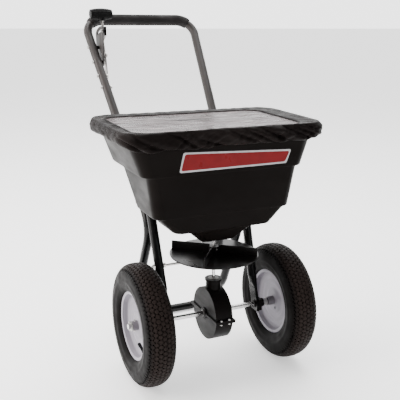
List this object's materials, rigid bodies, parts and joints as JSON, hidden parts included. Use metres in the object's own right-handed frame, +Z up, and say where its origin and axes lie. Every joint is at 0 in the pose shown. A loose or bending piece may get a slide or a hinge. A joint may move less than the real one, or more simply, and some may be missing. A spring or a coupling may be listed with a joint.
{
  "type": "garden spreader",
  "caption": "Push broadcast spreader: covered hopper on a bent tube frame, pneumatic wheels, axle-driven spinning plate and a hand lever for the shut-off gate.",
  "frame": {"origin": "on the ground under the middle of the axle, the axle at Y 0", "axes": "+X along the axle, to the right of someone pushing; +Y to the rear, towards the handle; +Z up"},
  "size_m": [0.568, 0.7533, 0.9714],
  "materials": {
    "handle_paint": "satin grey-brown powder coat",
    "frame_paint": "gloss black enamel",
    "gauge_paint": "satin dark grey",
    "zinc": "zinc plated",
    "bright_steel": "bright drawn steel",
    "plated_strip": "satin plated strip",
    "hopper_plastic": "satin moulded black",
    "black_plastic": "satin black",
    "pale_plastic": "off-white bearing plastic",
    "gloss_black_plastic": "gloss black",
    "gear_plastic": "natural gear plastic",
    "tyre": "moulded tread, dark brown-black",
    "tube_rubber": "black butyl",
    "wheel_paint": "satin light grey-white enamel",
    "hub_steel": "turned steel",
    "foam": "closed-cell foam skin",
    "grip_rubber": "fluted black rubber",
    "cover_fabric": "charcoal woven cloth",
    "window_film": "soft vinyl film"
  },
  "bodies": {
    "frame": {"handle_tube": "handle_paint", "foam_grip": "foam", "stand_tube": "frame_paint", "axle_leg_left": "frame_paint", "axle_leg_right": "frame_paint", "gussets": "frame_paint", "cross_rod": "zinc", "cross_rod_nuts": "zinc", "frame_bolts": "zinc", "handle_bolts": "zinc", "hopper": "hopper_plastic", "hopper_bolts": "zinc", "hopper_spacers": "black_plastic", "shaft_bushing": "pale_plastic", "gate_guide": "frame_paint", "gate_guide_screws": "zinc", "leg_bearing_left": "black_plastic", "leg_bearing_right": "black_plastic", "gearbox_upper": "black_plastic", "gearbox_lower": "black_plastic", "gearbox_screws": "zinc", "neck_bushing": "pale_plastic", "gearbox_bushings": "pale_plastic", "gauge_plate": "gauge_paint", "gauge_spacers": "black_plastic", "gauge_bolts": "zinc", "pivot_bolt": "zinc"},
    "drive_wheel": {"axle": "bright_steel", "axle_spacers": "zinc", "axle_washers": "zinc", "cotter_pins": "zinc", "axle_gear": "gear_plastic", "gear_pin": "zinc", "tyre_left": "tyre", "inner_tube_left": "tube_rubber", "rim_left": "wheel_paint", "disc_left_outer": "wheel_paint", "disc_left_inner": "wheel_paint", "hub_left": "hub_steel", "drive_pin": "zinc"},
    "free_wheel": {"tyre_right": "tyre", "inner_tube_right": "tube_rubber", "rim_right": "wheel_paint", "disc_right_outer": "wheel_paint", "disc_right_inner": "wheel_paint", "hub_right": "hub_steel", "hub_bushings": "black_plastic"},
    "spinner": {"impeller_shaft": "bright_steel", "pinion": "gear_plastic", "impeller": "gloss_black_plastic", "impeller_pin": "zinc", "agitator": "zinc"},
    "lever_arm": {"lever": "plated_strip", "t_grip": "grip_rubber"},
    "rod_link": {"control_rod": "zinc"},
    "gate": {"gate_plate": "plated_strip"},
    "stop": {"stop_bolt": "zinc", "wing_nut": "black_plastic"},
    "lid": {"cover_band": "cover_fabric", "cover_window": "window_film"}
  },
  "joints": [
    {"name": "drive_spin", "type": "hinge", "parent": "frame", "child": "drive_wheel", "pos_m": [0, 0, 0.165], "axis": [1, 0, 0], "continuous": true},
    {"name": "free_spin", "type": "hinge", "parent": "frame", "child": "free_wheel", "pos_m": [0, 0, 0.165], "axis": [1, 0, 0], "continuous": true},
    {"name": "spinner_spin", "type": "hinge", "parent": "frame", "child": "spinner", "pos_m": [0, 0, 0.338], "axis": [0, 0, 1], "continuous": true},
    {"name": "lever_pivot", "type": "hinge", "parent": "frame", "child": "lever_arm", "pos_m": [-0.147, 0.474, 0.834], "axis": [1, 0, 0], "range_deg": [0, 29.85]},
    {"name": "rod_pin", "type": "hinge", "parent": "lever_arm", "child": "rod_link", "pos_m": [-0.147, 0.457, 0.77023], "axis": [1, 0, 0], "range_deg": [-29.86, 0]},
    {"name": "gate_slide", "type": "slide", "parent": "frame", "child": "gate", "axis": [0, 1, 0], "range_m": [0, 0.0341]},
    {"name": "stop_adjust", "type": "hinge", "parent": "frame", "child": "stop", "pos_m": [-0.147, 0.474, 0.834], "axis": [1, 0, 0], "range_deg": [-34, 0.8]},
    {"name": "cover_lift", "type": "slide", "parent": "frame", "child": "lid", "axis": [0, 0, 1], "range_m": [0, 0.25]}
  ],
  "couplings": [
    {"joint": "spinner_spin", "follows": "drive_spin", "ratio": -5},
    {"joint": "rod_pin", "follows": "lever_pivot", "ratio": -1},
    {"joint": "gate_slide", "follows": "lever_pivot", "m_per_rad": 0.065256}
  ]
}
